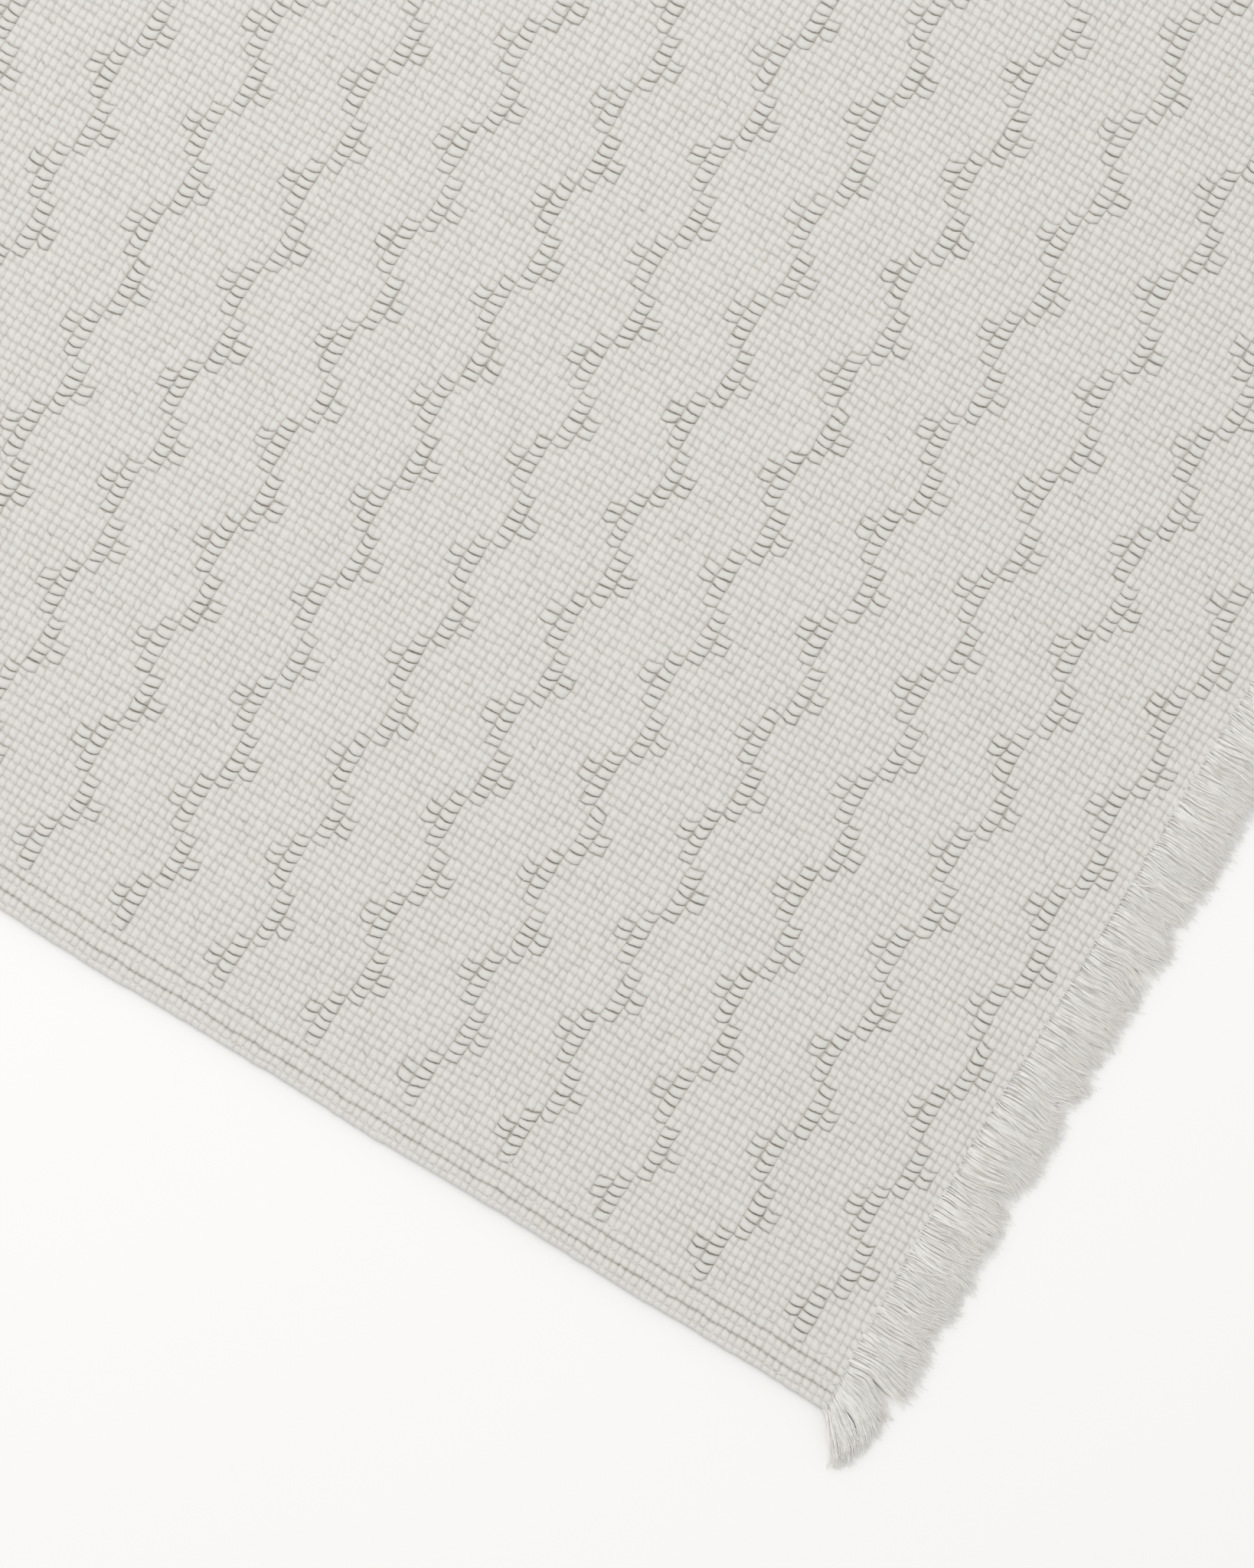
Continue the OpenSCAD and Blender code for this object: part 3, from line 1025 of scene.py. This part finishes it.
def fringe(side):
    """The loose warp ends along one short end: near and far fibres, and their bundles."""
    groove = np.repeat(np.arange(BAND + 1, ROWS - BAND), STRANDS)
    count = len(groove)
    y = -CLOTH_W / 2 + (groove + rng.uniform(-0.5, 0.5, count)) * ROW
    layer = rng.uniform(0, 1, count)
    root = strand_roots(y, FRINGE_IN, layer, FRINGE_ROOT)
    rel, half, cut = lobes(y, LOBE)
    from_edge = (CLOTH_W / 2 - np.abs(y)) - BAND * ROW
    corner = np.clip(1 - from_edge / CORNER_REACH, 0, 1) ** 1.5 * np.sign(y)
    heading = 0.05 * rng.standard_normal(count) + 0.04 * corner
    curl = 0.28 * corner + 0.12 * rng.standard_normal(count)
    loose = rng.uniform(size=count) < LOOSE_SHARE
    heading[loose] += 0.35 * rng.standard_normal(loose.sum())
    curl[loose] += 0.7 * rng.standard_normal(loose.sum())
    layer[loose] = 1.0
    ragged = flow(y, *RAGGED_FLOW)[:, -1]
    short = LOBE_CUT * cut * rel**4
    uneven = FRINGE_UNEVEN * np.abs(rng.standard_normal(count))
    length = FRINGE_L * (FRINGE_REACH - short - uneven) + ragged
    paths = strand_paths(root, heading, curl, length, layer, -LOBE_PULL * cut * rel**3 * half)
    paths[..., 0] *= side
    name = f"fringe_{side_name(side)}"
    near = paths[:, 0, 1] < 0
    made = []
    for where, some in (("near", near), ("far", ~near)):
        fibres = split_fibres(paths[some])
        made.append(tubes(f"{name}_{where}", fibres, FIBRE_R, FRINGE_COTTON, taper=FIBRE_TAPER))
    bundles = paths.reshape(-1, STRANDS, len(T), 3).mean(1)
    out = CLOTH_L / 2 - FRINGE_IN
    bundles[..., 0] = side * (out + (bundles[..., 0] * side - out) * BUNDLE_LENGTH)
    made.append(padding(f"{name}_bundles", bundles, BUNDLE_WIDTH * ROW))
    return made


def tassel(side, edge):
    """The selvedge's warp ends, which splay past one corner."""
    share = rng.uniform(0, 1, TASSEL_STRANDS)
    y = -CLOTH_W / 2 + 0.4 + share * (BAND + 0.4) * ROW
    layer = rng.uniform(0, 1, TASSEL_STRANDS)
    root = strand_roots(y, TASSEL_IN, layer, TASSEL_ROOT)
    bunch = np.round(share * TASSEL_BUNCHES) / TASSEL_BUNCHES
    least, more = TASSEL_TURN
    heading = -np.radians(least + more * (1 - bunch) ** 1.1) + 0.04 * rng.standard_normal(TASSEL_STRANDS)
    curl = TASSEL_CURL[0] + TASSEL_CURL[1] * rng.standard_normal(TASSEL_STRANDS)
    length = TASSEL_REACH - 0.13 * (1 - share) ** 2.5 - 0.28 * share**6
    length = FRINGE_L * (length - 0.05 * np.abs(rng.standard_normal(TASSEL_STRANDS)))
    pull = (bunch - share) * BAND * ROW * 0.25
    paths = strand_paths(root, heading, curl, length, layer, pull)
    paths[..., 0] *= side
    paths[..., 1] *= -edge
    where = f"{'far' if edge > 0 else 'near'}_{side_name(side)}"
    made = [tubes(f"tassel_{where}", split_fibres(paths), FIBRE_R, FRINGE_COTTON, taper=FIBRE_TAPER)]
    middles = np.stack([paths[bunch == value].mean(0) for value in np.unique(bunch)])
    made.append(padding(f"tassel_{where}_bundles", middles, TASSEL_BUNDLE))
    for piece in made:
        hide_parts(f"corner_tassel_{where}")
    return made


# ---------------------------------------------------------------- lock stitching
STITCH_R = 0.11
ZIGZAG_IN = 0.5
ZIGZAG_HALF = 1.1
ZIGZAG_Z = (3.35, 0.15)
ZIGZAG_STRAY = (0.16, 0.1, 0.12)
STRAIGHT_Z = 3.0
STRAIGHT_STRAY = (0.10, 0.12)


def stitch_line(side):
    """Thin zigzag threads that cross at every groove over the last weft, and a straight one two wefts in."""
    rows = np.arange(0.2, ROWS - 0.2, 0.25)
    count = len(rows)
    y = -CLOTH_W / 2 + rows * ROW
    along, across, rise = ZIGZAG_STRAY
    paths = []
    for sign in (1, -1):
        zigzag = 1 - 4 * np.abs((rows + 0.25) % 1 - 0.5)
        x = CLOTH_L / 2 - ZIGZAG_IN + ZIGZAG_HALF * sign * zigzag + along * rng.standard_normal(count)
        z = ZIGZAG_Z[0] + ZIGZAG_Z[1] * sign * zigzag + rise * rng.standard_normal(count)
        moved_y = y + across * rng.standard_normal(count)
        paths.append(np.stack([x + flare(x, y), moved_y, z + lie(x, y)], -1))
    x = CLOTH_L / 2 - 2 * PITCH + STRAIGHT_STRAY[0] * rng.standard_normal(count)
    z = STRAIGHT_Z + STRAIGHT_STRAY[1] * rng.standard_normal(count)
    paths.append(np.stack([x + flare(x, y), y, z + lie(x, y)], -1))
    paths = np.array(paths)
    paths[..., 0] *= side
    return tubes(f"stitches_{side_name(side)}", paths, STITCH_R, SELVEDGE_COTTON, sides=4)


# ---------------------------------------------------------------- both ends, then the body that carries all
for side in (1, -1):
    where = side_name(side)
    for piece in fringe(side):
        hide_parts(f"fringe_{where}")
        pieces.append(piece)
    piece = stitch_line(side)
    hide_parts(f"lock_stitch_{where}")
    pieces.append(piece)
    for edge in (-1, 1):
        for piece in tassel(side, edge):
            pieces.append(piece)

core = core_sheet()
for piece in [core, *pieces]:
    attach(piece, "root")

# ---------------------------------------------------------------- floor, light and camera, in metres
FLOOR_HALF = 40.0
FLOOR_DROP = 0.0001
WORLD_LIGHT = 0.80
KEY_PLACE = (-0.35, 0.15, 1.5)
KEY_SIZE = 1.2
KEY_WATTS = 10
PHOTO_TURN = 31.205
PHOTO_HEIGHT = 461.0 * MM
# The view's middle, in millimetres in from the mat's right end and near edge
VIEW_IN = (141.7, 127.5)
LENS = 100
SENSOR = 36


def lay_floor():
    bpy.ops.mesh.primitive_plane_add(size=2 * FLOOR_HALF, location=(0, 0, -FLOOR_DROP))
    floor = bpy.context.object
    floor.name = "floor"
    floor.data.materials.append(floor_material())


def light_world():
    world = bpy.data.worlds.new("studio")
    bpy.context.scene.world = world
    world.use_nodes = True
    set_inputs(world.node_tree.nodes["Background"], {"Color": (1, 1, 1, 1), "Strength": WORLD_LIGHT})


def soft_box(name, place_m, size, watts):
    """A square area light that faces the mat's middle."""
    data = bpy.data.lights.new(name, "AREA")
    data.size = size
    data.energy = watts
    lamp = bpy.data.objects.new(name, data)
    bpy.context.scene.collection.objects.link(lamp)
    lamp.location = place_m
    aim = -lamp.location.normalized()
    lamp.rotation_euler = aim.to_track_quat("-Z", "Y").to_euler()


def set_camera():
    """A long lens straight above the near right corner."""
    data = bpy.data.cameras.new("camera")
    data.lens = LENS
    data.sensor_width = SENSOR
    camera = bpy.data.objects.new("camera", data)
    bpy.context.scene.collection.objects.link(camera)
    x = (CLOTH_L / 2 - VIEW_IN[0]) * MM
    y = (-CLOTH_W / 2 + VIEW_IN[1]) * MM
    camera.location = (x, y, PHOTO_HEIGHT * LENS / SENSOR)
    camera.rotation_euler = (0, 0, math.radians(PHOTO_TURN))
    bpy.context.scene.camera = camera
    bpy.context.scene.view_settings.view_transform = "Standard"


lay_floor()
light_world()
soft_box("key", KEY_PLACE, KEY_SIZE, KEY_WATTS)
set_camera()
